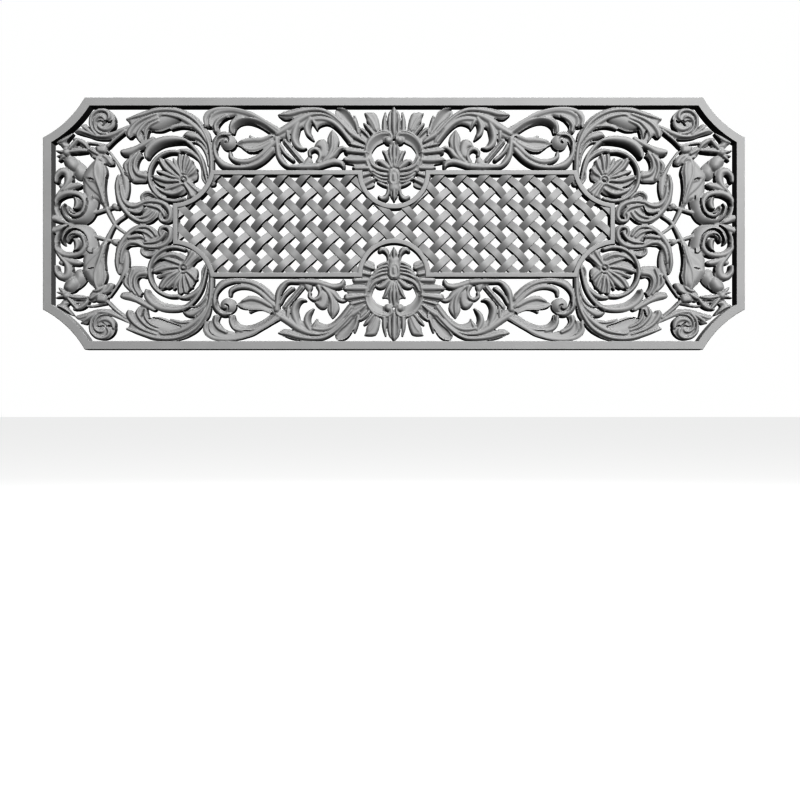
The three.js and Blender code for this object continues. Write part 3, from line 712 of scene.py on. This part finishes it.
# A curve drawn by a springy rule through the marks of a stroke, or round a closed outline
def spring_line(points, closed):
    marks = np.array(points, float)
    if closed:
        padded = np.vstack([marks[-1], marks, marks[0], marks[1]])
        marks = np.vstack([marks, marks[0]])
    else:
        padded = np.vstack([2 * marks[0] - marks[1], marks, 2 * marks[-1] - marks[-2]])
    line = [marks[0]]
    for i in range(1, len(marks)):
        a, b, c, d = padded[i - 1:i + 3]
        steps = max(1, math.ceil(np.linalg.norm((c - b)[:2]) / line_spacing))
        for t in (np.arange(steps) + 1) / steps:
            line.append(0.5 * (2 * b + (c - a) * t + (2 * a - 5 * b + 4 * c - d) * t ** 2
                               + (3 * b - a - 3 * c + d) * t ** 3))
    line = np.array(line)
    if closed:
        return line[:-1]
    line[:, 2] = np.maximum(line[:, 2], thinnest)
    return line


# The part of the grid that a form can reach
def window_of(line):
    wide = line[:, 2].max() + window_margin
    spans = []
    for axis, count in ((0, columns), (1, rows)):
        first = max(0, math.floor((line[:, axis].min() - wide) / grid_step))
        last = min(count + 1, math.ceil((line[:, axis].max() + wide) / grid_step) + 1)
        spans.append(slice(first, last))
    return tuple(spans) if all(span.start < span.stop for span in spans) else None


# How far along one straight piece of a line each spot lies, from 0 to 1, and its offset from it
def along_and_off(start, end, u, v):
    du, dv = (end - start)[:2]
    along = ((u - start[0]) * du + (v - start[1]) * dv) / (du * du + dv * dv + 1e-9)
    along = np.clip(along, 0, 1)
    return along, u - start[0] - along * du, v - start[1] - along * dv


# Distance outside a stroke, how far across it each spot lies (from -1 at its right edge to 1 at
# its left), and the half width there
def stroke_fields(line, u, v):
    outside = np.full(u.shape, far)
    across = np.full(u.shape, far)
    width = np.ones(u.shape)
    for start, end in zip(line[:-1], line[1:]):
        along, off_u, off_v = along_and_off(start, end, u, v)
        away = np.hypot(off_u, off_v)
        half = start[2] + along * (end[2] - start[2])
        du, dv = (end - start)[:2]
        side = np.where(du * off_v - dv * off_u >= 0, 1, -1)
        closer = away / half < np.abs(across)
        across = np.where(closer, side * away / half, across)
        width = np.where(closer, half, width)
        outside = np.minimum(outside, away - half)
    return outside, across, width


# Distance outside a closed outline, negative within it
def pad_field(line, u, v):
    away = np.full(u.shape, far)
    within = np.zeros(u.shape, bool)
    for start, end in zip(line, np.roll(line, -1, axis=0)):
        _, off_u, off_v = along_and_off(start, end, u, v)
        away = np.minimum(away, np.hypot(off_u, off_v))
        du, dv = (end - start)[:2]
        if dv:
            crossed = (start[1] <= v) != (end[1] <= v)
            within ^= crossed & (u < start[0] + (v - start[1]) * du / dv)
    return np.where(within, -away, away)


# Every form and its mirror images over the axes are laid on the grid of one quarter: the highest
# form wins at each spot, and the hollows are cut from that
height = np.zeros(grid_u.shape)
outside = np.full(grid_u.shape, far)
hollows = np.zeros(grid_u.shape)
for form in forms:
    first, second, third = form["heights"]
    for flip_u, flip_v in ((1, 1), (-1, 1), (1, -1)):
        line = spring_line([(flip_u * u, flip_v * v, w) for u, v, w in form["points"]],
                           form["kind"] == "pad")
        window = window_of(line)
        if window is None:
            continue
        u, v = grid_u[window], grid_v[window]
        if form["kind"] == "pad":
            away = pad_field(line, u, v)
            slack = np.clip(1 + away / third, 0, 1)
            top = first + (second - first) * (1 - slack ** 2)
        else:
            away, across, width = stroke_fields(line, u, v)
            t = np.clip(across * flip_u * flip_v, -1, 1)
            top = second + (first - third) / 2 * t + ((first + third) / 2 - second) * t ** 2
            if form["kind"] == "hollow":
                hollows[window] = np.maximum(hollows[window], np.where(away < 0, top, 0))
                continue
            edge = min(first, third)
            top = edge + (top - edge) * np.minimum(1, width / full_width)
        reached = away < blend_reach
        height[window] = np.where(reached, np.maximum(height[window], top), height[window])
        outside[window] = np.minimum(outside[window], away)
height = np.clip(height - hollows, lowest, highest)

# Grid points close to an outline move onto it. The carving ends under the frame's bars.
snap_reach, least_slope = 0.49, 0.3
tuck, corner_tuck = 2.5, 4.44
slope_u, slope_v = np.gradient(outside, grid_step)
steepness = np.maximum(np.hypot(slope_u, slope_v), least_slope)
shift = -outside / steepness ** 2
near = np.abs(outside) / steepness < snap_reach * grid_step
snap_u = np.where(near, grid_u + shift * slope_u, grid_u)
snap_v = np.where(near, grid_v + shift * slope_v, grid_v)
snap_u[0], snap_v[:, 0] = 0, 0
keep = near | (outside < 0)
keep &= (grid_u < half_length - bar_width + tuck) & (grid_v < half_height - bar_width + tuck)
keep &= np.hypot(grid_u - notch_x, grid_v - notch_z) > notch_radius + bar_width - corner_tuck

bm = bmesh.new()
bmesh.ops.create_grid(bm, x_segments=columns, y_segments=rows, size=1)
doomed = []
for vert in bm.verts:
    i = round((vert.co.x + 1) / 2 * columns)
    j = round((vert.co.y + 1) / 2 * rows)
    vert.co = (snap_u[i, j], -height[i, j], snap_v[i, j])
    if not keep[i, j]:
        doomed.append(vert)
lost = set(doomed)
for face in bm.faces[:]:
    gone = [v for v in face.verts if v in lost]
    if len(gone) == 1:
        k = list(face.verts).index(gone[0])
        bmesh.utils.face_split(face, face.verts[k - 1], face.verts[(k + 1) % 4])
bmesh.ops.delete(bm, geom=doomed, context="VERTS")
bmesh.ops.delete(bm, geom=[v for v in bm.verts if not v.link_faces], context="VERTS")
quarter = bpy.data.meshes.new("quarter")
bm.to_mesh(quarter)
bm.free()

# The quarter four times over, with straight walls down to a flat back
carving_back = 0.15
for side, rise, name in ((1, 1, "top_right"), (-1, 1, "top_left"), (1, -1, "bottom_right"),
                         (-1, -1, "bottom_left")):
    bm = bmesh.new()
    bm.from_mesh(quarter)
    bmesh.ops.scale(bm, vec=(side, 1, rise), verts=bm.verts)
    back = bm.verts[:]
    raised = bmesh.ops.extrude_face_region(bm, geom=bm.faces[:])["geom"]
    front = {f for f in raised if isinstance(f, bmesh.types.BMFace)}
    for edge in {e for face in front for e in face.edges}:
        edge.smooth = all(f in front for f in edge.link_faces)
    for vert in back:
        vert.co.y = -carving_back
    bmesh.ops.recalc_face_normals(bm, faces=bm.faces)
    finish_piece(bm, "carving_" + name, crease=50)
bpy.data.meshes.remove(quarter)


# Studio: a pale floor well below the panel, a pale surround that lights next to nothing, a soft
# key light in front, above and to the right, and a weaker one above and behind. The picture
# shows no cast shadow, so the lamps throw none.
floor_height, floor_reach = -1.15, 40
lamp_size = 1.0
lamp_aim = Vector((0, 0, -0.17))


def pale_floor():
    material = bpy.data.materials.new("pale_floor")
    material.use_nodes = True
    skin = material.node_tree.nodes["Principled BSDF"]
    skin.inputs["Base Color"].default_value = linear("#f4f4f4")
    skin.inputs["Roughness"].default_value = 0.9
    skin.inputs["Emission Color"].default_value = linear("#ffffff")
    skin.inputs["Emission Strength"].default_value = 0.9
    return material


bm = bmesh.new()
bmesh.ops.create_grid(bm, x_segments=1, y_segments=1, size=floor_reach)
bmesh.ops.translate(bm, vec=(0, 0, floor_height), verts=bm.verts)
mesh = bpy.data.meshes.new("floor")
bm.to_mesh(mesh)
bm.free()
floor = bpy.data.objects.new("floor", mesh)
mesh.materials.append(pale_floor())
bpy.context.scene.collection.objects.link(floor)
floor.visible_diffuse = False
floor.visible_glossy = False

world = bpy.data.worlds.new("studio")
world.use_nodes = True
bpy.context.scene.world = world
tree = world.node_tree
surround = tree.nodes["Background"]
surround.inputs["Color"].default_value = linear("#ffffff")
rays_seen = add_node(tree, "ShaderNodeLightPath").outputs["Is Camera Ray"]
strength = add_node(tree, "ShaderNodeMapRange", {"To Min": 0.03, "To Max": 1.0},
                    {"Value": rays_seen})
tree.links.new(strength.outputs["Result"], surround.inputs["Strength"])


def soft_light(name, place, watts):
    light = bpy.data.lights.new(name, "AREA")
    light.size = lamp_size
    light.energy = watts
    light.use_shadow = False
    lamp = bpy.data.objects.new(name, light)
    lamp.location = place
    lamp.rotation_euler = (lamp_aim - Vector(place)).to_track_quat("-Z", "Y").to_euler()
    bpy.context.scene.collection.objects.link(lamp)


soft_light("key_light", (1.27, -4.39, 1.87), 385)
soft_light("back_light", (0, 3.4, 3.2), 130)

# Camera: straight on and a little below the panel's middle, as the upper picture is taken
camera = bpy.data.cameras.new("camera")
camera.lens = 43.57
camera.sensor_width = 36
eye = bpy.data.objects.new("camera", camera)
eye.location = (0.0087, -1.3969, -0.425)
eye.rotation_euler = (math.radians(90), 0, 0)
bpy.context.scene.collection.objects.link(eye)
bpy.context.scene.camera = eye
bpy.context.scene.view_settings.view_transform = "Raw"
